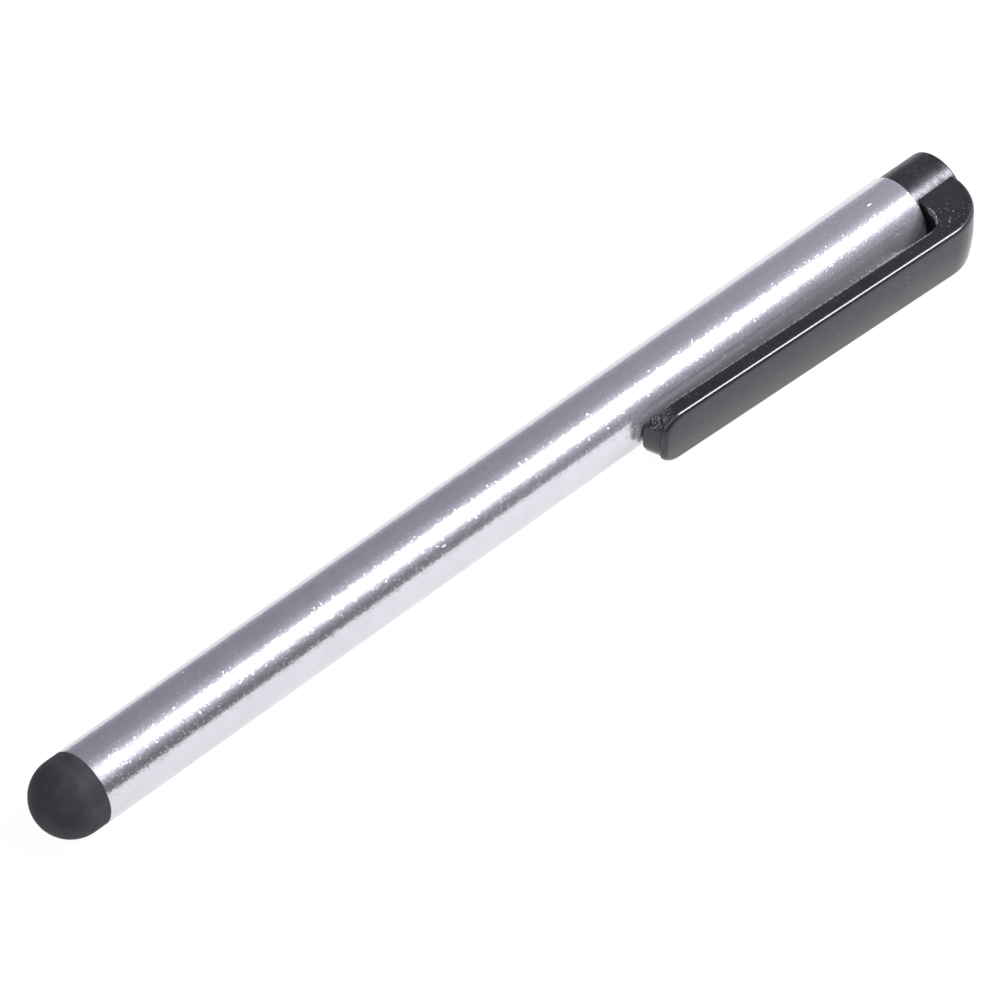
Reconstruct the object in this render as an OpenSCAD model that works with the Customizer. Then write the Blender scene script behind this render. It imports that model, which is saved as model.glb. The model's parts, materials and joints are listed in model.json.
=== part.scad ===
// Stylus pen: an aluminium tube with a hollow rubber nib, and a moulded cap with a springy pocket clip.
// The pen lies along X with its nib towards -X, resting on the tube and on the lower edge of the clip.
// The origin is on the surface that it lies on, under the middle of its outline.

/* [Barrel] */
// Outside diameter of the tube
barrel_d = 7; // [6:0.1:9]
// Length of the tube
barrel_l = 95.8; // [75:0.1:130]
// Wall of the tube
barrel_wall = 0.5; // [0.4:0.05:0.7]
// Bevel on the outer edge of both rims
rim_bevel = 0.12; // [0.05:0.01:0.2]

/* [Nib] */
// Straight band of rubber between the tube and the dome
nib_band = 1.25; // [0.5:0.05:3]
// How much smaller the nib is than the tube, on the radius
nib_step = 0.02; // [0.02:0.01:0.1]
// Wall of the hollow dome
dome_wall = 0.9; // [0.6:0.05:1.2]
// Length of the neck inside the tube
neck_l = 8; // [6:0.5:12]
// Wall of the neck
neck_wall = 0.6; // [0.4:0.05:0.8]
// Clearance of the neck to the tube and to the holder, and of the nib's shoulder to the rim
neck_gap = 0.03; // [0.02:0.01:0.05]

/* [Nib holder] */
// Length of the ring that spreads the neck
holder_l = 6.5; // [4:0.5:9]
// Wall of the ring
holder_wall = 0.7; // [0.5:0.05:0.9]
// Number of barbs round the ring
barb_count = 4; // [2:1:6]
// Depth of the barbs
barb_depth = 0.18; // [0.1:0.02:0.25]
// Thickness of the flange behind the neck
flange_t = 0.8; // [0.5:0.1:1.5]
// How much the flange bites into the bore of the tube, on the radius
flange_bite = 0.02; // [0.01:0.005:0.04]

/* [Cap] */
// Length of the cap outside the tube
cap_l = 5; // [4.85:0.05:7]
// How much smaller the cap's head is than the tube, on the radius
cap_step = 0.15; // [0.05:0.05:0.3]
// Round on the cap's end
cap_round = 0.2; // [0.1:0.05:1]
// Length of the plug inside the tube
plug_l = 9; // [6:0.5:14]
// Radial clearance between the plug and the tube
plug_gap = 0.08; // [0.04:0.01:0.12]
// Wall of the cored plug
plug_wall = 1.1; // [0.8:0.1:1.5]
// Number of crush ribs along the plug
rib_count = 6; // [3:1:8]
// Width of a crush rib
rib_w = 0.7; // [0.4:0.1:1]
// How much the ribs bite into the bore of the tube, on the radius
rib_bite = 0.03; // [0.01:0.01:0.05]

/* [Clip] */
// Width of the clip
clip_w = 5.5; // [4.5:0.1:5.9]
// Length of the arm from its nose to the end of the slot
arm_l = 35; // [25:0.1:45]
// Thickness of the arm
arm_t = 1.65; // [1.2:0.05:1.8]
// Gap between the arm and the tube at the end of the slot
root_gap = 1.85; // [1.6:0.05:2.4]
// Gap between the arm and the tube at the nose
nose_gap = 0.6; // [0.5:0.05:1]
// How far the slot runs past the end of the tube
slot_past = 0.25; // [0.1:0.05:0.4]
// Round between the arm and the end of the slot
slot_round = 1; // [0.6:0.1:1.2]
// Width of the round's foot where it meets the end of the slot
slot_foot = 0.15; // [0.1:0.05:0.3]
// How far the web's end stands back from the cap's end
web_back = 0.25; // [0:0.05:0.4]
// Round on the outer corner over the cap's end
end_round = 4.2; // [2.5:0.1:4.3]
// Round on the corners of the nose, seen from outside
nose_round = 2; // [1:0.1:2.6]
// Round on the nose's outer edge, seen from the side
nose_edge = 0.7; // [0.6:0.05:1.2]
// Round along the long outer edges
edge_round = 0.5; // [0.2:0.05:0.6]
// Length of the nub under the nose
nub_l = 1.5; // [1.2:0.1:2.5]
// Length of the nub's flat foot
nub_flat = 0.75; // [0.4:0.05:1]
// Gap between the nub and the tube
nub_gap = 0.12; // [0.08:0.02:0.3]
// Running gap round the arm's knuckle
knuckle_gap = 0.05; // [0.03:0.01:0.08]

/* [Hidden] */
$fn = 96;

// One overrun for all cuts
over = 0.5;
// Flats that make up the round on the nose's outer edge
nose_steps = 10;

// Radii from the tube inwards
barrel_r = barrel_d / 2;
bore_r = barrel_r - barrel_wall;
nib_r = barrel_r - nib_step;
neck_r = bore_r - neck_gap;
neck_bore_r = neck_r - neck_wall;
holder_r = neck_bore_r - neck_gap;
plug_r = bore_r - plug_gap;

// Places along the pen, from the tube's front rim
nib_front = -(nib_band + nib_r);
cap_end = barrel_l + cap_l;
slot_x = barrel_l + slot_past;
nose_x = slot_x - arm_l;

// The clip in its own plane, as x along the pen and h over the pen's axis
rise = (root_gap - nose_gap) / arm_l;
rise_angle = atan(rise);
arm_t_h = arm_t / cos(rise_angle);
function inner_h(x) = barrel_r + root_gap + rise * (x - slot_x);
function outer_h(x) = inner_h(x) + arm_t_h;
knuckle_r = arm_t / 2;
knuckle_h = inner_h(slot_x) + arm_t_h / 2;

// Middle of the round over the cap's end, and where it leaves the outer face
web_end = cap_end - web_back;
end_x = web_end - end_round;
end_h = outer_h(end_x) - end_round / cos(rise_angle);
turn_x = end_x - end_round * sin(rise_angle);
turn_h = end_h + end_round * cos(rise_angle);

// Roll about the pen's axis that lays the clip's lower edge on the surface
edge_h = outer_h(end_x) - edge_round;
edge_y = clip_w / 2 - edge_round;
roll = asin((barrel_r - edge_round) / norm([edge_h, edge_y])) - atan2(edge_y, edge_h);

// Middle of the outline, from the tube's front rim and the pen's axis
clip_reach = edge_h * cos(roll) + edge_y * sin(roll) + edge_round;
mid_x = (nib_front + cap_end) / 2;
mid_y = (barrel_r - clip_reach) / 2;

// Lays down what is drawn about the X axis with the clip towards -Y
module laid() {
    translate([-mid_x, -mid_y, barrel_r])
        rotate([roll, 0, 0])
            children();
}

// Turns an outline of [radius, x] about the pen's axis
module turned() {
    rotate([0, 90, 0])
        rotate_extrude()
            children();
}

// Stands a side view of [x, h] up in the clip's plane
module side_view(width) {
    mirror([0, 1, 0])
        linear_extrude(width, center = true)
            children();
}

// A strip as wide as the clip that runs along x and ends at reach with two round corners
module round_strip(from, reach) {
    flat_w = clip_w - 2 * edge_round;
    translate([from, -clip_w / 2])
        square([reach - edge_round - from, clip_w]);
    translate([from, -flat_w / 2])
        square([reach - from, flat_w]);
    for (s = [-1, 1])
        translate([reach - edge_round, s * flat_w / 2])
            circle(edge_round);
}

// The long bar under the outer face, from the end round to past the nose
module clip_bar() {
    translate([turn_x, -turn_h, 0])
        rotate([0, 0, 180 - rise_angle])
            rotate([90, 0, 90])
                linear_extrude((turn_x - nose_x) / cos(rise_angle) + over)
                    round_strip(-end_round - over, 0);
}

// The round over the cap's end
module end_turn() {
    wedge = end_round + over;
    intersection() {
        translate([end_x, -end_h, 0])
            rotate_extrude()
                round_strip(0, end_round);
        side_view(clip_w + 2 * over)
            translate([end_x, end_h])
                polygon([
                    [0, 0],
                    [wedge, 0],
                    [wedge, wedge],
                    [-wedge * sin(rise_angle), wedge * cos(rise_angle)]
                ]);
    }
}

module barrel_tube() {
    color([0.78, 0.79, 0.82])
        laid()
            turned()
                polygon([
                    [bore_r, 0],
                    [barrel_r - rim_bevel, 0],
                    [barrel_r, rim_bevel],
                    [barrel_r, barrel_l - rim_bevel],
                    [barrel_r - rim_bevel, barrel_l],
                    [bore_r, barrel_l]
                ]);
}

module rubber_nib() {
    color([0.2, 0.2, 0.22])
        laid()
            turned()
                difference() {
                    union() {
                        intersection() {
                            translate([0, -nib_band])
                                circle(nib_r);
                            translate([0, nib_front - over])
                                square([nib_r + over, nib_r + over]);
                        }
                        translate([0, -nib_band])
                            square([nib_r, nib_band - neck_gap]);
                        translate([0, -nib_band])
                            square([neck_r, nib_band + neck_l]);
                    }
                    translate([0, -nib_band])
                        circle(nib_r - dome_wall);
                    translate([-over, -nib_band])
                        square([neck_bore_r + over, nib_band + neck_l + over]);
                }
}

module nib_holder() {
    barb_l = holder_l / barb_count;
    color([0.78, 0.62, 0.3])
        laid()
            turned()
                translate([0, neck_l])
                    difference() {
                        union() {
                            translate([0, neck_gap])
                                square([bore_r + flange_bite, flange_t]);
                            square([holder_r, neck_gap]);
                            for (i = [1 : barb_count])
                                translate([0, -i * barb_l])
                                    polygon([
                                        [0, 0],
                                        [holder_r - barb_depth, 0],
                                        [holder_r, barb_l],
                                        [0, barb_l]
                                    ]);
                        }
                        translate([-over, -holder_l - over])
                            square([holder_r - holder_wall + over, holder_l + neck_gap + flange_t + 2 * over]);
                    }
}

// Head of the cap, a little smaller than the tube
module cap_head() {
    head_r = barrel_r - cap_step;
    turned()
        union() {
            translate([0, barrel_l])
                square([head_r, cap_l - cap_round]);
            translate([0, barrel_l])
                square([head_r - cap_round, cap_l]);
            translate([head_r - cap_round, cap_end - cap_round])
                circle(cap_round);
        }
}

// Cored plug with crush ribs, inside the tube
module cap_plug() {
    translate([barrel_l - plug_l, 0, 0])
        rotate([0, 90, 0])
            linear_extrude(plug_l)
                difference() {
                    union() {
                        circle(plug_r);
                        intersection() {
                            circle(bore_r + rib_bite);
                            for (i = [1 : rib_count])
                                rotate(i * 360 / rib_count)
                                    translate([0, -rib_w / 2])
                                        square([barrel_r, rib_w]);
                        }
                    }
                    circle(plug_r - plug_wall);
                }
}

// Web that carries the arm, with the seat of its knuckle
module cap_web() {
    difference() {
        union() {
            rotate([90, 0, 0])
                linear_extrude(end_h)
                    round_strip(slot_x, web_end);
            end_turn();
            intersection() {
                clip_bar();
                side_view(clip_w + 2 * over)
                    translate([slot_x, 0])
                        square([web_end - slot_x, outer_h(web_end)]);
            }
        }
        side_view(clip_w + 2 * over)
            translate([slot_x, knuckle_h])
                circle(knuckle_r + knuckle_gap);
    }
}

module clip_cap() {
    color([0.16, 0.15, 0.17])
        laid() {
            cap_head();
            cap_plug();
            cap_web();
        }
}

// Side view of the arm, with its knuckle, nub and the round at the end of the slot
module arm_side() {
    foot_x = slot_x - knuckle_gap;
    round_x = foot_x - slot_foot - slot_round;
    round_h = inner_h(round_x) - slot_round / cos(rise_angle);
    nub_h = barrel_r + nub_gap;
    edge_x = nose_x + nose_edge;
    edge_mid_h = outer_h(edge_x) - nose_edge / cos(rise_angle);
    nose_arc = [
        for (i = [0 : nose_steps])
            let (w = 90 + rise_angle + i * (90 - rise_angle) / nose_steps)
                [edge_x + nose_edge * cos(w), edge_mid_h + nose_edge * sin(w)]
    ];
    translate([slot_x, knuckle_h])
        circle(knuckle_r);
    polygon(concat([
        [nose_x, nub_h],
        [nose_x + nub_flat, nub_h],
        [nose_x + nub_l, inner_h(nose_x + nub_l)],
        [slot_x + knuckle_r * sin(rise_angle), knuckle_h - knuckle_r * cos(rise_angle)],
        [slot_x - knuckle_r * sin(rise_angle), knuckle_h + knuckle_r * cos(rise_angle)]
    ], nose_arc));
    difference() {
        polygon([
            [round_x, round_h],
            [foot_x, round_h],
            [foot_x, knuckle_h],
            [round_x, knuckle_h]
        ]);
        translate([round_x, round_h])
            circle(slot_round);
    }
}

// The clip's outline seen from outside, with round corners at the nose
module nose_plan() {
    straight_w = clip_w - 2 * nose_round;
    rotate([90, 0, 0])
        linear_extrude(outer_h(cap_end) + over)
            union() {
                translate([nose_x + nose_round, -clip_w / 2 - over])
                    square([arm_l, clip_w + 2 * over]);
                translate([nose_x - over, -straight_w / 2])
                    square([arm_l, straight_w]);
                for (s = [-1, 1])
                    translate([nose_x + nose_round, s * straight_w / 2])
                        circle(nose_round);
            }
}

module clip_arm() {
    color([0.2, 0.19, 0.21])
        laid()
            intersection() {
                clip_bar();
                side_view(clip_w + 2 * over)
                    arm_side();
                nose_plan();
            }
}

barrel_tube();
rubber_nib();
nib_holder();
clip_cap();
clip_arm();
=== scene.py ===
"""The looks of a stylus pen: a polished aluminium tube, a soft rubber nib, and a cap moulded with its clip.

Every piece is drawn in the pen's own millimetres: x along the pen from the tube's front rim, h (along -y) out
of the axis towards the clip, and z to the clip's side. One matrix lays it down where the frame has it.
"""

import json
import math

import bmesh
import bpy
from mathutils import Matrix, Vector


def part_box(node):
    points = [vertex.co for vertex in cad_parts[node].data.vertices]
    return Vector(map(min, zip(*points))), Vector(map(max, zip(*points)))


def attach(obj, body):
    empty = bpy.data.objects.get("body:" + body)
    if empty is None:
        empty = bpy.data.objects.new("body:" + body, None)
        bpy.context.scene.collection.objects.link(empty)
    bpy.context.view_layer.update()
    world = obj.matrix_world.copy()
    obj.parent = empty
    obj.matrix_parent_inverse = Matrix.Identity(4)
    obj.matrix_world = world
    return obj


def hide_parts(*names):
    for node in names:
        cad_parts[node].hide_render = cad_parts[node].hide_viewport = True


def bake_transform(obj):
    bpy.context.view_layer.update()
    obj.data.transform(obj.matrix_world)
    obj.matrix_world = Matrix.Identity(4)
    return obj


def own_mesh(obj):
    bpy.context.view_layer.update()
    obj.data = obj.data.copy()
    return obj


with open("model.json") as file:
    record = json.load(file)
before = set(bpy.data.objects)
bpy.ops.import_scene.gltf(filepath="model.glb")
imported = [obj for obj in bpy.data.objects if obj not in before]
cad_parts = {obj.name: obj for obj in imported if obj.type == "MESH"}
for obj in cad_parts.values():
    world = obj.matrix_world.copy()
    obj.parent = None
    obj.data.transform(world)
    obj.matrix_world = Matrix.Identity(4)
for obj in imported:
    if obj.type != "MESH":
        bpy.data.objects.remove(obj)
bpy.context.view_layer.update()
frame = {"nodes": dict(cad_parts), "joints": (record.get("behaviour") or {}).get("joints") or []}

# Camera, in metres
CAMERA_PLACE = Vector((-0.321185, -0.353888, 0.442791))
CAMERA_LOOK = Vector((0.49282, 0.547062, -0.676659))
CAMERA_UP = Vector((0.50226, 0.456176, 0.734606))
CAMERA_LENS = 280.054
CAMERA_SENSOR = 36
CAMERA_NEAR = 0.05
CAMERA_FAR = 20

# Barrel, in millimetres
BARREL_R = 3.5
BARREL_WALL = 0.5
RIM_ROUND = 0.12
TURN_STEPS = 192

# Modelling: the most that a smooth edge turns by and the least that a rounded one does, in degrees, the
# distance within which points are the same, and how deep an edge of the clip's outer contour may lie
SMOOTH_ANGLE = 32
ROUND_ANGLE = 35
TOUCH = 0.001
CONTOUR_DEEP = 0.02

# Nib
NIB_R = 3.48
NIB_BAND = 1.25
NIB_WALL = 0.9
NECK_R = 2.97
NECK_BORE_R = 2.37
NECK_L = 8
SHOULDER_GAP = 0.03

# Cap and clip
CAP_L = 5
HEAD_R = 3.36
HEAD_END_R = 3.32
CAP_ROUND = 0.2
PLUG_R = 2.92
PLUG_L = 9
PLUG_WALL = 1.1
PLUG_ROUND = 0.3
CLIP_W = 5.5
ARM_L = 35
ARM_T = 1.65
ROOT_GAP = 1.85
NOSE_GAP = 0.6
SLOT_PAST = 0.25
SLOT_ROUND = 2
WEB_BACK = 0.1
WEB_FOOT_H = 0.8
END_ROUND = 4.75
CROWN = 0.17
END_CROWN = 0.06
CROWN_CUTS = (-2.1, -1.4, -0.7, 0, 0.7, 1.4, 2.1)
NOSE_ROUND = 2
NOSE_LEAN = 0.85
NOSE_LEAN_L = 3
NUB_L = 1.5
NUB_FLAT = 0.75
NUB_GAP = 0.12
NUB_ROOT = 1.1
NUB_TAPER = 0.5
NUB_EDGE = 0.09
EDGE_ROUND = 0.5
SOFT_EDGE = 0.1
BEND_STEP = 2

# The nub's edges are softened in a band over its foot, up to just before its back
NUB_EDGE_BAND = 0.3
NUB_BACK = 0.1

# The nub's uneven outline seen from the tube, as x from the clip's nose and side
NUB_PLAN = [
    (1.5, 1.95), (0.95, 1.93), (0.5, 1.76), (0.16, 1.68), (-0.1, 1.3), (-0.32, 0.92), (-0.36, 0.4), (-0.42, -0.1),
    (-0.34, -0.6), (-0.3, -1.08), (-0.1, -1.5), (0.16, -1.98), (0.5, -2.34), (1, -2.6), (1.5, -2.68),
]

# Facets of the barrel's skin, as their size, how far their normals lean, and the share that lean only slightly
FACET = 0.07
FACET_SLIGHT = 0.03
FACET_STEEP = 0.3
FACET_EVEN = 0.6

# Nicks in the barrel, as x along the pen, h, side and half their length, with half their width
BARREL_NICKS = [
    (38.23, 2.56, 2.38, 0.35),
    (92, -0.08, 3.5, 0.4),
    (3.2, 2.27, 2.67, 0.12),
    (57.6, 2.5, 2.45, 0.15),
]
NICK_R = 0.12

# Specks, as the solid part of their radius, and how sharply chance picks the cells that hold one
SPECK_SOLID = 0.4
SPECK_PICK = 0.02

# Middle of the dusty patch on the web, as x past the tube, h and side
DUST_PLACE = (0.95, 5.5, 2.7)

# Middle of the scuffs on the nose, as x past the nose, h over the nub's foot and side
SCUFF_PLACE = (0.8, 0.7, 2)

# Pale line round the slot's corner, as the h of the corner's middle, the h and side of the line's own middle,
# and its width
SLOT_ROUND_H = 3.3
SLOT_LINE = (4.1, 2.7)
SLOT_LINE_W = 0.12

# Painted highlight along the arm's inner edge, as its width, and where it fades out before the end of the slot
EDGE_HIGHLIGHT_W = 0.22
EDGE_HIGHLIGHT_END = (2.5, 1.5)

# Colours
METAL_DULL = (0.74, 0.742, 0.79, 1)
METAL_BRIGHT = (0.77, 0.772, 0.82, 1)
METAL_BARE = (0.95, 0.95, 0.95, 1)
RUBBER_DARK = (0.035, 0.033, 0.039, 1)
RUBBER_WORN = (0.05, 0.048, 0.056, 1)
RUBBER_DUST = (0.17, 0.17, 0.17, 1)
PLASTIC_DARK = (0.015, 0.0143, 0.0168, 1)
PLASTIC_PALE = (0.019, 0.018, 0.021, 1)
PLASTIC_DUST = (0.2, 0.2, 0.2, 1)
# Pale colour of the scuffs, of the line round the slot's corner, and of the painted highlight along the arm's
# inner edge
PLASTIC_SCUFF_AND_SHEEN = (0.5, 0.5, 0.51, 1)
BRASS_DULL = (0.62, 0.46, 0.2, 1)
BRASS_BRIGHT = (0.78, 0.6, 0.28, 1)
PAPER_COLOUR = (0.8, 0.8, 0.8, 1)
BLACK = (0, 0, 0, 1)
WHITE = (1, 1, 1, 1)

# Softbox over the pen, in metres, degrees over the clip's side, and watts
SOFTBOX_L = 0.38
SOFTBOX_W = 0.29
SOFTBOX_X = 0.49
SOFTBOX_OUT = 0.87
SOFTBOX_HEIGHT = 61
SOFTBOX_WATTS = 7.4
SOFTBOX_COLOUR = (0.98, 0.985, 1)

# Small lamp beyond the cap, as a point of the pen, with its side in metres and its watts
LAMP_PLACE = (169, 28, 56)
LAMP_SIDE = 0.03
LAMP_WATTS = 0.095

# Floor, in metres: half its side, its own light and where that fades with distance, what the camera gets on
# top, and how much of it is light rather than lit paper
FLOOR_R = 6
FLOOR_LIGHT = 0.97
FLOOR_FADE = 0.4
FLOOR_NEAR = 0.06
FLOOR_FAR = 0.5
CAMERA_LIFT = 0.12
FLOOR_WHITE = 0.88

# Room, as its light. Heights are degrees round the pen, from the clip's side over the top to the back.
WALL_COLOUR = (0.93, 0.935, 1.13, 1)
RIGHT_WALL = (0.44, 0.58)
RIGHT_LIGHT = 0.16
BACK_WALL = (60, 110)
BACK_LIGHT = 0.18
CORNER_DIM = 0.15
LOW_WALL = (150, 180)
LOW_LIGHT = 0.15
GLOW_COLOUR = (0.97, 0.97, 1.08, 1)
GLOW_EDGE = ((14, 50), (66, 112))
GLOW_EDGE_LIGHT = 0.5
GLOW_CORE = ((32, 52), (64, 86))

# Where the pen lies
tube_low, tube_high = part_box("barrel_tube")
BARREL_L = (tube_high.x - tube_low.x) * 1000
flex = next(joint for joint in frame["joints"] if joint["name"] == "clip_flex")
ROLL = math.atan2(-flex["axis"][1], flex["axis"][2])
LAID = (
    Matrix.Translation((tube_low.x, (tube_low.y + tube_high.y) / 2, BARREL_R / 1000))
    @ Matrix.Rotation(ROLL, 4, "X")
    @ Matrix.Scale(0.001, 4)
)

# The clip in its own plane, as x along the pen and h out from the axis
SLOT_X = BARREL_L + SLOT_PAST
NOSE_X = SLOT_X - ARM_L
CAP_END = BARREL_L + CAP_L
WEB_END = CAP_END - WEB_BACK
RISE = (ROOT_GAP - NOSE_GAP) / ARM_L
RISE_ANGLE = math.atan(RISE)
NUB_H = BARREL_R + NUB_GAP


def inner_h(x):
    return BARREL_R + ROOT_GAP + RISE * (x - SLOT_X)


def outer_h(x):
    return inner_h(x) + ARM_T / math.cos(RISE_ANGLE)


END_X = WEB_END - END_ROUND
END_H = outer_h(END_X) - END_ROUND / math.cos(RISE_ANGLE)


def laid(x, h, side=0):
    """A point of the pen, in the frame's metres."""
    return LAID @ Vector((x, -h, side))


def millimetres(metres):
    return tuple(1000 * part for part in metres)


# Camera


def make_camera():
    camera = bpy.data.objects.new("camera", bpy.data.cameras.new("camera"))
    camera.data.lens = CAMERA_LENS
    camera.data.sensor_width = CAMERA_SENSOR
    camera.data.clip_start = CAMERA_NEAR
    camera.data.clip_end = CAMERA_FAR
    back = -CAMERA_LOOK.normalized()
    right = CAMERA_UP.cross(back).normalized()
    turn = Matrix((right, back.cross(right), back)).transposed()
    camera.matrix_world = Matrix.Translation(CAMERA_PLACE) @ turn.to_4x4()
    bpy.context.scene.collection.objects.link(camera)
    bpy.context.scene.camera = camera
    bpy.context.scene.view_settings.view_transform = "Standard"


# Shader maths


class Wire:
    """A shader socket that Python's operators work on."""

    def __init__(self, tree, socket=None):
        self.tree = tree
        self.socket = socket

    def node(self, kind, inputs, output=0, **settings):
        """Any node, with wires or values on its inputs, as the wire of one output."""
        made = self.tree.nodes.new(kind)
        for name, value in settings.items():
            setattr(made, name, value)
        for name, value in inputs.items():
            if isinstance(value, Wire):
                self.tree.links.new(value.socket, made.inputs[name])
            else:
                made.inputs[name].default_value = value
        return Wire(self.tree, made.outputs[output]) if made.outputs else made

    def math(self, operation, *values):
        return self.node("ShaderNodeMath", dict(enumerate(values)), operation=operation)

    def __add__(self, other):
        return self.math("ADD", self, other)

    def __sub__(self, other):
        return self.math("SUBTRACT", self, other)

    def __rsub__(self, other):
        return self.math("SUBTRACT", other, self)

    def __mul__(self, other):
        return self.math("MULTIPLY", self, other)

    __radd__ = __add__
    __rmul__ = __mul__

    def step(self, low, high):
        """0 below low, 1 above high, and smooth between them."""
        return self.node(
            "ShaderNodeMapRange",
            {"Value": self, "From Min": low, "From Max": high},
            interpolation_type="SMOOTHSTEP",
        )

    def mix(self, a, b):
        """Colour a where this wire is 0, and colour b where it is 1."""
        return self.node("ShaderNodeMix", {0: self, 6: a, 7: b}, output=2, data_type="RGBA")


def new_material(name):
    """A material with one Principled shader, as its wires and that shader's node."""
    material = bpy.data.materials.new(name)
    material.use_nodes = True
    tree = material.node_tree
    shader = tree.nodes["Principled BSDF"]
    return material, Wire(tree), shader


def set_shader(wires, shader, **values):
    """Sets or links sockets of the Principled shader, named with underscores."""
    for name, value in values.items():
        socket = shader.inputs[name.replace("_", " ")]
        if isinstance(value, Wire):
            wires.tree.links.new(value.socket, socket)
        else:
            socket.default_value = value


def vector(wires, operation, *values, scale=None):
    """Vector Math on up to three vectors, as a vector. Only the operation SCALE takes a scale."""
    inputs = dict(enumerate(values))
    if scale is not None:
        inputs["Scale"] = scale
    return wires.node("ShaderNodeVectorMath", inputs, operation=operation)


def measure(wires, operation, *values):
    """Vector Math on up to two vectors, as a number."""
    return wires.node("ShaderNodeVectorMath", dict(enumerate(values)), output="Value", operation=operation)


def object_place(wires, stretch=(1, 1, 1)):
    """Object coordinates in millimetres, each axis multiplied by its stretch."""
    place = wires.node("ShaderNodeTexCoord", {}, output="Object")
    return vector(wires, "MULTIPLY", place, millimetres(stretch))


def noise(wires, place, size, detail=2, roughness=0.5):
    """Soft noise whose lumps are about size across."""
    return wires.node(
        "ShaderNodeTexNoise",
        {"Vector": place, "Scale": 1 / size, "Detail": detail, "Roughness": roughness},
    )


def cells(wires, place, size):
    """Cells of about that size, as the distance to the middle of the nearest and its random colour."""
    near, colour = (
        wires.node("ShaderNodeTexVoronoi", {"Vector": place, "Scale": 1 / size}, output=output)
        for output in ("Distance", "Color")
    )
    return near, colour


def chance(wires, seed):
    """A random number from 0 to 1 for each seed vector."""
    return wires.node("ShaderNodeTexWhiteNoise", {"Vector": seed}, output="Value", noise_dimensions="3D")


def specks(wires, place, size, share, radius):
    """Round specks: a share of the cells of that size holds one, of that radius in cells."""
    near, colour = cells(wires, place, size)
    picked = chance(wires, colour).step(1 - share, 1 - share + SPECK_PICK)
    return (1 - near.step(radius * SPECK_SOLID, radius)) * picked


def distance(wires, centre):
    """How far a place is from a point of the pen, in millimetres."""
    return measure(wires, "DISTANCE", object_place(wires), millimetres(centre))


def ball(wires, centre, inside, outside):
    """1 within a radius of a point of the pen, and 0 outside a larger one, in millimetres."""
    return 1 - distance(wires, centre).step(inside, outside)


def ring(wires, centre, radius, width):
    """1 within half a width of a circle round a point of the pen, and 0 beyond a whole width."""
    off = distance(wires, centre) - radius
    return 1 - off.math("ABSOLUTE", off).step(width / 2, width)


def strip(wires, start, end, width):
    """1 within half a width of the line through two points of the pen, and 0 beyond a whole width."""
    away = vector(wires, "SUBTRACT", object_place(wires), millimetres(start))
    across = vector(wires, "CROSS_PRODUCT", away, tuple((end - start).normalized()))
    return 1 - measure(wires, "LENGTH", across).step(width / 2, width)


def drawn_out(wires, place, direction, long, short):
    """The place in lumps: long ones along a direction, and short across it."""
    along = tuple(direction.normalized())
    reach = measure(wires, "DOT_PRODUCT", place, along)
    pulled = vector(wires, "SCALE", along, scale=reach * (1 / short - 1 / long))
    return vector(wires, "SUBTRACT", vector(wires, "SCALE", place, scale=1 / short), pulled)


def nicks(wires, ragged):
    """The few nicks in the barrel's skin, each longer along the pen."""
    found = []
    for x, h, side, length in BARREL_NICKS:
        away = vector(wires, "SUBTRACT", object_place(wires), millimetres(laid(x, h, side)))
        near = measure(wires, "LENGTH", vector(wires, "DIVIDE", away, (length, NICK_R, NICK_R)))
        found.append(1 - (near + ragged).step(low=0.9, high=1.1))
    return sum(found[1:], found[0])


def bump(wires, height, strength, depth, normal=None):
    """A bumped normal whose height runs over depth, in millimetres."""
    inputs = {"Height": height, "Strength": strength, "Distance": depth / 1000}
    if normal:
        inputs["Normal"] = normal
    return wires.node("ShaderNodeBump", inputs)


# Finishes


def polished_aluminium():
    """Bright tube whose skin is broken up into tiny facets, with pits and a few nicks."""
    material, wires, shader = new_material("polished_aluminium")
    place = object_place(wires)
    facet = cells(wires, place, FACET)[1]
    steep = chance(wires, facet).step(FACET_EVEN, 1)
    lean = steep * FACET_STEEP + FACET_SLIGHT
    tilt = vector(wires, "SCALE", vector(wires, "SUBTRACT", facet, (0.5, 0.5, 0.5)), scale=lean)
    surface = wires.node("ShaderNodeNewGeometry", {}, output="Normal")
    faceted = vector(wires, "NORMALIZE", vector(wires, "ADD", surface, tilt))
    pits = specks(wires, place, size=0.33, share=0.4, radius=0.14)
    clouds = noise(wires, place, size=2.5, detail=3)
    nick = nicks(wires, ragged=noise(wires, place, size=0.12) * 0.7)
    colour = clouds.step(low=0.35, high=0.65).mix(METAL_DULL, METAL_BRIGHT)
    set_shader(
        wires,
        shader,
        Base_Color=nick.mix(colour, METAL_BARE),
        Metallic=0.82 - nick * 0.72,
        Roughness=0.15 - steep * 0.05 + clouds * 0.02 + pits * 0.1,
        Normal=bump(wires, pits, strength=0.6, depth=0.05, normal=faceted),
    )
    return material


def matte_rubber():
    """Soft rubber with fine pores, cloudy wear, rubbed streaks and a little dust."""
    material, wires, shader = new_material("matte_rubber")
    place = object_place(wires)
    cloud = noise(wires, place, size=1.7, detail=3)
    dust = specks(wires, place, size=0.6, share=0.1, radius=0.12)
    pores = noise(wires, place, size=0.12)
    rubbed = noise(wires, object_place(wires, stretch=(0.3, 1, 1)), size=0.22).step(low=0.62, high=0.72)
    streaks = rubbed * cloud.step(low=0.46, high=0.58)
    worn = cloud.step(low=0.32, high=0.66).mix(RUBBER_DARK, RUBBER_WORN)
    set_shader(
        wires,
        shader,
        Base_Color=(dust * 0.6 + streaks * 0.24).mix(worn, RUBBER_DUST),
        Roughness=0.62 + pores * 0.15,
        Specular_IOR_Level=0.35,
        Normal=bump(wires, pores, strength=0.25, depth=0.03),
    )
    return material


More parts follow.
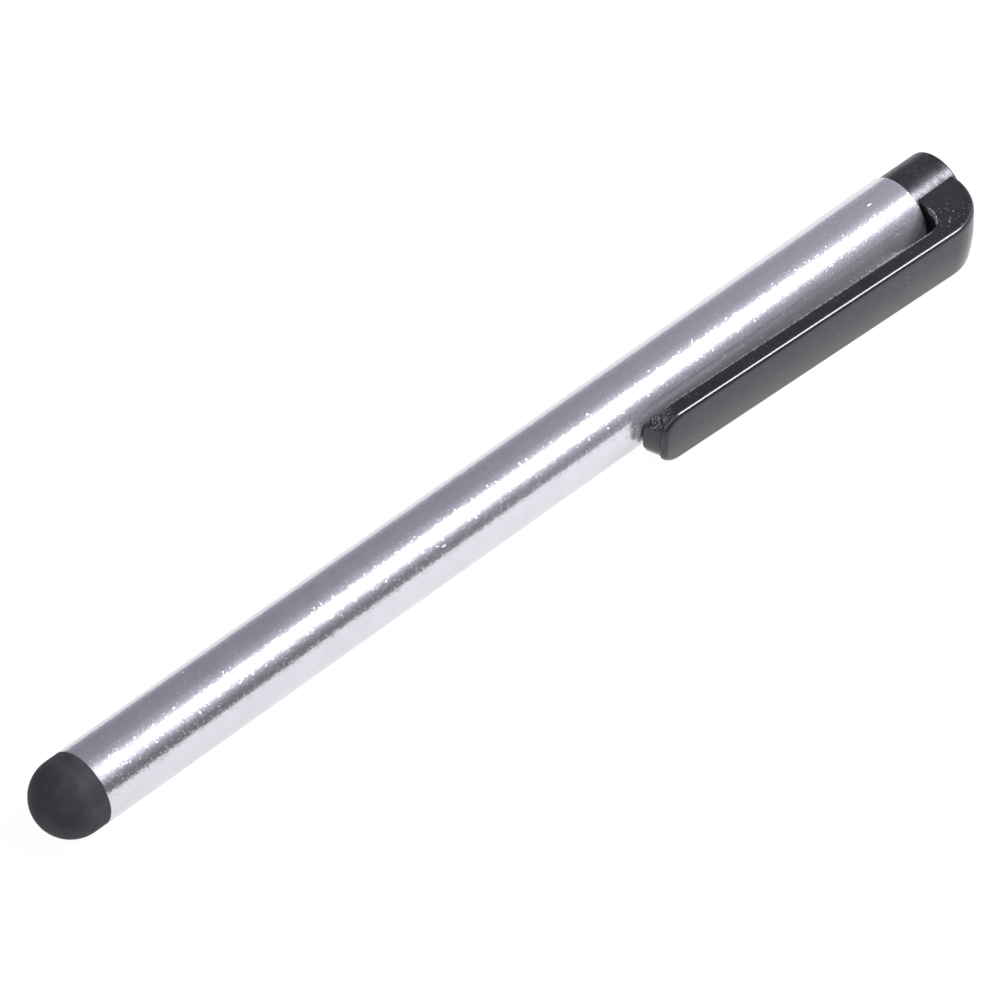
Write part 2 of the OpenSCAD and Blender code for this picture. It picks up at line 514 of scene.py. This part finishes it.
def clip_wear_and_sheen(wires, place, streaks, nose):
    """Pale marks: worn streaks on the nose and its nub, a pale line round the slot's corner, and a painted
    highlight along the arm's inner edge.
    """
    torn = noise(wires, place, size=0.16, detail=3, roughness=0.7)

    round_middle = laid(SLOT_X - SLOT_ROUND, SLOT_ROUND_H, CLIP_W / 2)
    slot = ball(wires, laid(BARREL_L, *SLOT_LINE), inside=0.8, outside=1.3)
    slot *= ring(wires, round_middle, SLOT_ROUND, SLOT_LINE_W)

    # The pale line along the arm's inner edge is a painted highlight of its small rounded edge, broken up by
    # noise
    along = wires.node("ShaderNodeSeparateXYZ", {0: place}, output="X")
    arm = 1 - along.step(*(1000 * laid(SLOT_X - back, 0).x for back in EDGE_HIGHLIGHT_END))
    nose_end, slot_end = (laid(x, inner_h(x), CLIP_W / 2) for x in (NOSE_X, SLOT_X))
    edge = arm * strip(wires, nose_end, slot_end, EDGE_HIGHLIGHT_W)

    on_nose = streaks.step(low=0.53, high=0.65) * nose * 0.9
    in_slot = torn.step(low=0.42, high=0.55) * slot * 0.8
    painted_edge_highlight = torn.step(low=0.35, high=0.6) * edge * 0.6
    return on_nose + in_slot + painted_edge_highlight


def black_plastic():
    """Moulded plastic, blotchy on the cap's head, with dust, pale scuffs, a pale line round the slot's corner and
    a painted highlight along the arm's inner edge.
    """
    material, wires, shader = new_material("black_plastic")
    place = object_place(wires)
    cloud = noise(wires, place, size=1.3, detail=3)
    grain = noise(wires, place, size=0.18)
    blotch = noise(wires, place, size=0.5, detail=3, roughness=0.6)
    head = ball(wires, laid(CAP_END - 2, 0), inside=3.6, outside=6)

    past, out, side = DUST_PLACE
    dusty = noise(wires, place, size=2.6, detail=1).step(low=0.45, high=0.62) * 0.4
    dusty += ball(wires, laid(BARREL_L + past, out, side), inside=0.6, outside=1.4)
    dust = specks(wires, place, size=0.4, share=0.75, radius=0.3) * dusty

    past, out, side = SCUFF_PLACE
    nose = ball(wires, laid(NOSE_X + past, NUB_H + out, side), inside=0.7, outside=1.6)
    slanted = drawn_out(wires, place, laid(1, 0, 1) - laid(0, 0, 0), long=0.8, short=0.06)
    streaks = noise(wires, slanted, size=1, roughness=0.6)
    scuff_and_sheen = clip_wear_and_sheen(wires, place, streaks, nose)

    body = cloud.step(low=0.35, high=0.65).mix(PLASTIC_DARK, PLASTIC_PALE)
    dusted = (dust * 0.7).mix(body, PLASTIC_DUST)
    relief = grain * (0.1 + head * 0.25) + blotch * head * 0.8 + streaks * nose * 0.5 + dust * 0.5
    set_shader(
        wires,
        shader,
        # The pale colour holds the scuffs and also a painted highlight along the arm's inner edge
        Base_Color=(scuff_and_sheen * 0.9).mix(dusted, PLASTIC_SCUFF_AND_SHEEN),
        Roughness=0.1 + blotch * (0.12 + head * 0.35) + scuff_and_sheen * 0.35,
        IOR=1.66,
        Specular_Tint=(0.96, 0.91, 1, 1),
        Normal=bump(wires, relief, strength=0.5, depth=0.03),
    )
    return material


def turned_brass():
    """Brass with the fine rings that a lathe leaves, and uneven tarnish."""
    material, wires, shader = new_material("turned_brass")
    rings = noise(wires, object_place(wires, stretch=(8, 0.1, 0.1)), size=0.5)
    tarnish = noise(wires, object_place(wires), size=1.5, detail=3)
    set_shader(
        wires,
        shader,
        Base_Color=tarnish.step(low=0.3, high=0.7).mix(BRASS_DULL, BRASS_BRIGHT),
        Metallic=1,
        Roughness=0.25 + tarnish * 0.2,
        Normal=bump(wires, rings, strength=0.3, depth=0.02),
    )
    return material


# Modelling


def arc(x, r, radius, start, end, steps):
    """Points on a circle round (x, r), from start to end in degrees from the x axis."""
    turns = (math.radians(start + (end - start) * i / steps) for i in range(steps + 1))
    return [(x + radius * math.cos(turn), r + radius * math.sin(turn)) for turn in turns]


def lathe(bm, outline, closed):
    """Turns an outline of (x, radius) about the pen's axis."""
    verts = [bm.verts.new((x, 0, r)) for x, r in outline]
    pairs = list(zip(verts, verts[1:]))
    if closed:
        pairs.append((verts[-1], verts[0]))
    edges = [bm.edges.new(pair) for pair in pairs]
    bmesh.ops.spin(
        bm,
        geom=verts + edges,
        cent=(0, 0, 0),
        axis=(1, 0, 0),
        angle=math.tau,
        steps=TURN_STEPS,
        use_merge=True,
    )


def finished(name, bm, material):
    """Makes the piece from its mesh, laid down in the frame."""
    bmesh.ops.remove_doubles(bm, verts=bm.verts, dist=TOUCH / 2)
    bmesh.ops.recalc_face_normals(bm, faces=bm.faces)
    bm.transform(LAID)
    mesh = bpy.data.meshes.new(name)
    bm.to_mesh(mesh)
    bm.free()
    mesh.shade_smooth()
    mesh.set_sharp_from_angle(angle=math.radians(SMOOTH_ANGLE))
    mesh.materials.append(material)
    piece = bpy.data.objects.new(name, mesh)
    bpy.context.scene.collection.objects.link(piece)
    return piece


def make_barrel():
    bm = bmesh.new()
    bore_r = BARREL_R - BARREL_WALL
    back = BARREL_L - RIM_ROUND
    shoulder = BARREL_R - RIM_ROUND
    outline = [(0, bore_r)]
    outline += arc(RIM_ROUND, shoulder, RIM_ROUND, 180, 90, steps=4)
    outline += arc(back, shoulder, RIM_ROUND, 90, 0, steps=4)
    outline += [(BARREL_L, bore_r)]
    lathe(bm, outline, closed=True)
    piece = finished("barrel", bm, polished_aluminium())
    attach(piece, "barrel")
    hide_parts("barrel_tube")


def make_nib():
    bm = bmesh.new()
    hollow_r = NIB_R - NIB_WALL
    mouth = math.degrees(math.asin(NECK_BORE_R / hollow_r))
    outline = arc(-NIB_BAND, 0, NIB_R, 180, 90, steps=40)
    outline += [(-SHOULDER_GAP, NIB_R), (-SHOULDER_GAP, NECK_R), (NECK_L, NECK_R), (NECK_L, NECK_BORE_R)]
    outline += arc(-NIB_BAND, 0, hollow_r, mouth, 180, steps=30)
    lathe(bm, outline, closed=False)
    piece = finished("nib", bm, matte_rubber())
    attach(piece, "barrel")
    laid(0, 0)
    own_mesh(piece)
    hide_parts("rubber_nib")


def clip_outline():
    """Side view of the clip and its web, as (x, h)."""
    tilt = math.degrees(RISE_ANGLE)
    round_x = SLOT_X - SLOT_ROUND
    round_h = inner_h(round_x) - SLOT_ROUND / math.cos(RISE_ANGLE)
    outline = [(NOSE_X, inner_h(NOSE_X))]
    outline += arc(round_x, round_h, SLOT_ROUND, 90 + tilt, 0, steps=8)
    outline += [(SLOT_X, WEB_FOOT_H), (WEB_END, WEB_FOOT_H)]
    outline += arc(END_X, END_H, END_ROUND, 0, 90 + tilt, steps=24)
    outline += [(NOSE_X, outer_h(NOSE_X))]
    return outline


def outer_depth(point):
    """How deep a point lies under the clip's outer contour, seen from the side."""
    x, h = point.x, -point.y
    if h < END_H:
        return WEB_END - x if x > SLOT_X else BARREL_R
    if x < END_X:
        return outer_h(x) - h
    return END_ROUND - math.hypot(x - END_X, h - END_H)


def sharp_edges(bm, wanted):
    """The edges that turn by enough to get a round and whose middle is wanted."""
    return [
        edge
        for edge in bm.edges
        if edge.is_manifold
        and edge.calc_face_angle() > math.radians(ROUND_ANGLE)
        and wanted((edge.verts[0].co + edge.verts[1].co) / 2)
    ]


def soften(bm, edges, offset, segments):
    bmesh.ops.bevel(
        bm,
        geom=edges,
        offset=offset,
        segments=segments,
        profile=0.5,
        affect="EDGES",
        material=-1,
        clamp_overlap=True,
    )


def cut_along(bm, place, axis):
    """Cuts the mesh square to an axis, at a place along it."""
    normal = [0, 0, 0]
    normal[axis] = 1
    bmesh.ops.bisect_plane(
        bm,
        geom=bm.verts[:] + bm.edges[:] + bm.faces[:],
        plane_co=[place * part for part in normal],
        plane_no=normal,
        dist=TOUCH / 10,
    )


def lean_and_crown(bm):
    """Leans the wall of the nose back towards its foot, and swells the outer face of the clip a little."""
    for vert in bm.verts:
        x, h = vert.co.x, -vert.co.y
        near = min(max((NOSE_X + NOSE_LEAN_L - x) / NOSE_LEAN_L, 0), 1)
        down = min(max((outer_h(x) - EDGE_ROUND - h) / (ARM_T - EDGE_ROUND), 0), 1)
        vert.co.x += NOSE_LEAN * near * near * (3 - 2 * near) * down
        if outer_depth(vert.co) < EDGE_ROUND + CONTOUR_DEEP / 2:
            turn = min(max(math.atan2(h - END_H, x - END_X), 0), math.pi / 2 + RISE_ANGLE)
            swell = END_CROWN + (CROWN - END_CROWN) * math.sin(turn) ** 2
            swell *= 1 - min(2 * abs(vert.co.z) / (CLIP_W - 2 * EDGE_ROUND), 1) ** 2
            vert.co += swell * Vector((math.cos(turn), -math.sin(turn), 0))


def add_clip(bm):
    """The arm and the web, moulded as one bar."""
    face = bm.faces.new([bm.verts.new((x, -h, -CLIP_W / 2)) for x, h in clip_outline()])
    grown = bmesh.ops.extrude_face_region(bm, geom=[face], use_keep_orig=True)
    top = [item for item in grown["geom"] if isinstance(item, bmesh.types.BMVert)]
    bmesh.ops.translate(bm, verts=top, vec=(0, 0, CLIP_W))
    bmesh.ops.recalc_face_normals(bm, faces=bm.faces)

    corners = [
        edge
        for edge in bm.edges
        if all(abs(vert.co.x - NOSE_X) < TOUCH for vert in edge.verts)
        and abs(edge.verts[0].co.z - edge.verts[1].co.z) < TOUCH
    ]
    soften(bm, corners, NOSE_ROUND, segments=12)

    soften(bm, sharp_edges(bm, lambda middle: outer_depth(middle) < CONTOUR_DEEP), EDGE_ROUND, segments=6)
    on_side = CLIP_W / 2 - TOUCH
    inner = sharp_edges(bm, lambda middle: abs(middle.z) > on_side or middle.x < NOSE_X + NOSE_ROUND)
    soften(bm, inner, SOFT_EDGE, segments=2)

    for i in range(1, int(ARM_L / BEND_STEP)):
        cut_along(bm, SLOT_X - i * BEND_STEP, axis=0)
    for side in CROWN_CUTS:
        cut_along(bm, side, axis=2)
    lean_and_crown(bm)


def add_nub(bm):
    """The rough tongue of plastic under the nose, whose foot slopes up to the arm."""
    base = [bm.verts.new((NOSE_X + x, -NUB_H, side)) for x, side in NUB_PLAN]
    grown = bmesh.ops.extrude_face_region(bm, geom=[bm.faces.new(base)], use_keep_orig=True)
    top = [item for item in grown["geom"] if isinstance(item, bmesh.types.BMVert)]
    bmesh.ops.translate(bm, verts=top, vec=(NUB_TAPER, NUB_H - inner_h(NOSE_X) - NUB_ROOT, 0))
    walls = {face for vert in base for face in vert.link_faces}
    edges = {edge for face in walls for edge in face.edges}
    verts = {vert for face in walls for vert in face.verts}
    bmesh.ops.bisect_plane(
        bm,
        geom=[*verts, *edges, *walls],
        plane_co=(NOSE_X + NUB_FLAT, 0, 0),
        plane_no=(1, 0, 0),
        dist=TOUCH / 10,
    )
    for vert in (vert for vert in bm.verts if abs(vert.co.y + NUB_H) < TOUCH):
        slope = max((vert.co.x - NOSE_X - NUB_FLAT) / (NUB_L - NUB_FLAT), 0)
        vert.co.y -= slope * (inner_h(NOSE_X + NUB_L) - NUB_H)
    bmesh.ops.recalc_face_normals(bm, faces=bm.faces)
    low, back = -NUB_H - NUB_EDGE_BAND, NOSE_X + NUB_L - NUB_BACK
    soften(bm, sharp_edges(bm, lambda middle: middle.y > low and middle.x < back), NUB_EDGE, segments=3)


def add_head(bm):
    """The round head of the cap."""
    shoulder = CAP_END - CAP_ROUND
    outline = [(BARREL_L, 0), (BARREL_L, HEAD_R)]
    outline += arc(shoulder, HEAD_END_R - CAP_ROUND, CAP_ROUND, 90, 0, steps=6)
    outline += [(CAP_END, 0)]
    lathe(bm, outline, closed=False)


def make_plug(plastic):
    """The cap's cored plug, a piece of its own so that it stays straight in the tube when the arm bends."""
    bm = bmesh.new()
    start = BARREL_L - PLUG_L
    core_r = PLUG_R - PLUG_WALL
    outline = [(start, core_r)]
    outline += arc(start + PLUG_ROUND, PLUG_R - PLUG_ROUND, PLUG_ROUND, 180, 90, steps=4)
    outline += [(BARREL_L, PLUG_R), (BARREL_L, core_r)]
    lathe(bm, outline, closed=True)
    piece = finished("cap_plug", bm, plastic)
    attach(piece, "barrel")
    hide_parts("clip_cap")


def make_clip(plastic):
    """The nub, then the bar and the head, as one moulded piece."""
    bm = bmesh.new()
    add_nub(bm)
    clip = bmesh.new()
    add_clip(clip)
    add_head(clip)
    joined = bpy.data.meshes.new("clip")
    clip.to_mesh(joined)
    clip.free()
    bm.from_mesh(joined)
    bpy.data.meshes.remove(joined)
    piece = finished("cap_and_clip", bm, plastic)
    level = piece.modifiers.new("level_faces", "WEIGHTED_NORMAL")
    level.keep_sharp = True
    laid(SLOT_X, BARREL_R)
    laid(SLOT_X - 10, BARREL_R)
    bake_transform(piece)
    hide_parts("clip_cap", "clip_arm")


def dress_holder():
    """The nib's holder keeps its CAD shape and gets a finish."""
    holder = frame["nodes"]["nib_holder"]
    holder.data.materials.clear()
    holder.data.materials.append(turned_brass())


# Studio


def make_floor():
    """White paper whose own light fades with distance for mirrors, and which keeps some of the pen's shadow."""
    material = bpy.data.materials.new("white_floor")
    material.use_nodes = True
    tree = material.node_tree
    tree.nodes.clear()
    wires = Wire(tree)
    camera, glossy, clear = (
        wires.node("ShaderNodeLightPath", {}, output=kind)
        for kind in ("Is Camera Ray", "Is Glossy Ray", "Is Transmission Ray")
    )
    place = wires.node("ShaderNodeTexCoord", {}, output="Object")
    far = measure(wires, "LENGTH", place).step(FLOOR_NEAR, FLOOR_FAR)
    strength = FLOOR_LIGHT - far * FLOOR_FADE + camera * (CAMERA_LIFT + far * FLOOR_FADE)
    paper = wires.node("ShaderNodeBsdfDiffuse", {"Color": PAPER_COLOUR})
    white = wires.node("ShaderNodeEmission", {"Color": WHITE, "Strength": strength})
    mixed = wires.node("ShaderNodeMixShader", {0: (camera + glossy + clear) * FLOOR_WHITE, 1: paper, 2: white})
    wires.node("ShaderNodeOutputMaterial", {0: mixed})
    bm = bmesh.new()
    bmesh.ops.create_grid(bm, x_segments=1, y_segments=1, size=FLOOR_R)
    mesh = bpy.data.meshes.new("floor")
    bm.to_mesh(mesh)
    bm.free()
    mesh.materials.append(material)
    floor = bpy.data.objects.new("floor", mesh)
    bpy.context.scene.collection.objects.link(floor)


def band(height, rise, fall):
    """1 between two heights, with its smooth rise and fall."""
    return height.step(*rise) * (1 - height.step(*fall))


def make_room():
    """Dim bluish walls, with a white glow round the softbox that fades out behind the pen."""
    world = bpy.data.worlds.new("room")
    world.use_nodes = True
    bpy.context.scene.world = world
    tree = world.node_tree
    background = tree.nodes["Background"]
    wires = Wire(tree)
    place = wires.node("ShaderNodeTexCoord", {}, output="Generated")
    along, out, up = (
        wires.node("ShaderNodeSeparateXYZ", {0: place}, output=axis)
        for axis in ("X", "Y", "Z")
    )
    height = up.math("ARCTAN2", up, out * -1) * (180 / math.pi)
    right = along.step(*RIGHT_WALL)
    back = height.step(*BACK_WALL)
    walls = right * RIGHT_LIGHT + back * (BACK_LIGHT - right * CORNER_DIM) + height.step(*LOW_WALL) * LOW_LIGHT
    glow = band(height, *GLOW_EDGE) * GLOW_EDGE_LIGHT + band(height, *GLOW_CORE)
    lit = vector(wires, "ADD", walls.mix(BLACK, WALL_COLOUR), glow.mix(BLACK, GLOW_COLOUR))
    seen = wires.node("ShaderNodeLightPath", {}, output="Is Camera Ray")
    light = seen.mix(lit, WHITE)
    tree.links.new(light.socket, background.inputs["Color"])
    background.inputs["Strength"].default_value = 1


def add_lamp(name, place, long, wide, watts, colour):
    """A rectangular lamp that faces the middle of the pen, with its long side along the pen."""
    lamp = bpy.data.lights.new(name, "AREA")
    lamp.shape = "RECTANGLE"
    lamp.size = long
    lamp.size_y = wide
    lamp.energy = watts
    lamp.color = colour
    back = place.normalized()
    side = back.cross(Vector((1, 0, 0))).normalized()
    turn = Matrix((side.cross(back), side, back)).transposed()
    made = bpy.data.objects.new(name, lamp)
    made.matrix_world = Matrix.Translation(place) @ turn.to_4x4()
    bpy.context.scene.collection.objects.link(made)
    return made


def make_lamps():
    """The softbox, and a small lamp that only diffuse light shows."""
    tilt = math.radians(SOFTBOX_HEIGHT)
    place = Vector((SOFTBOX_X, -SOFTBOX_OUT * math.cos(tilt), SOFTBOX_OUT * math.sin(tilt)))
    add_lamp("softbox", place, SOFTBOX_L, SOFTBOX_W, SOFTBOX_WATTS, SOFTBOX_COLOUR)
    small = add_lamp("small_lamp", laid(*LAMP_PLACE), LAMP_SIDE, LAMP_SIDE, LAMP_WATTS, SOFTBOX_COLOUR)
    small.visible_camera = False
    small.visible_glossy = False


make_camera()
make_barrel()
make_nib()
plastic = black_plastic()
make_plug(plastic)
make_clip(plastic)
dress_holder()
make_floor()
make_room()
make_lamps()
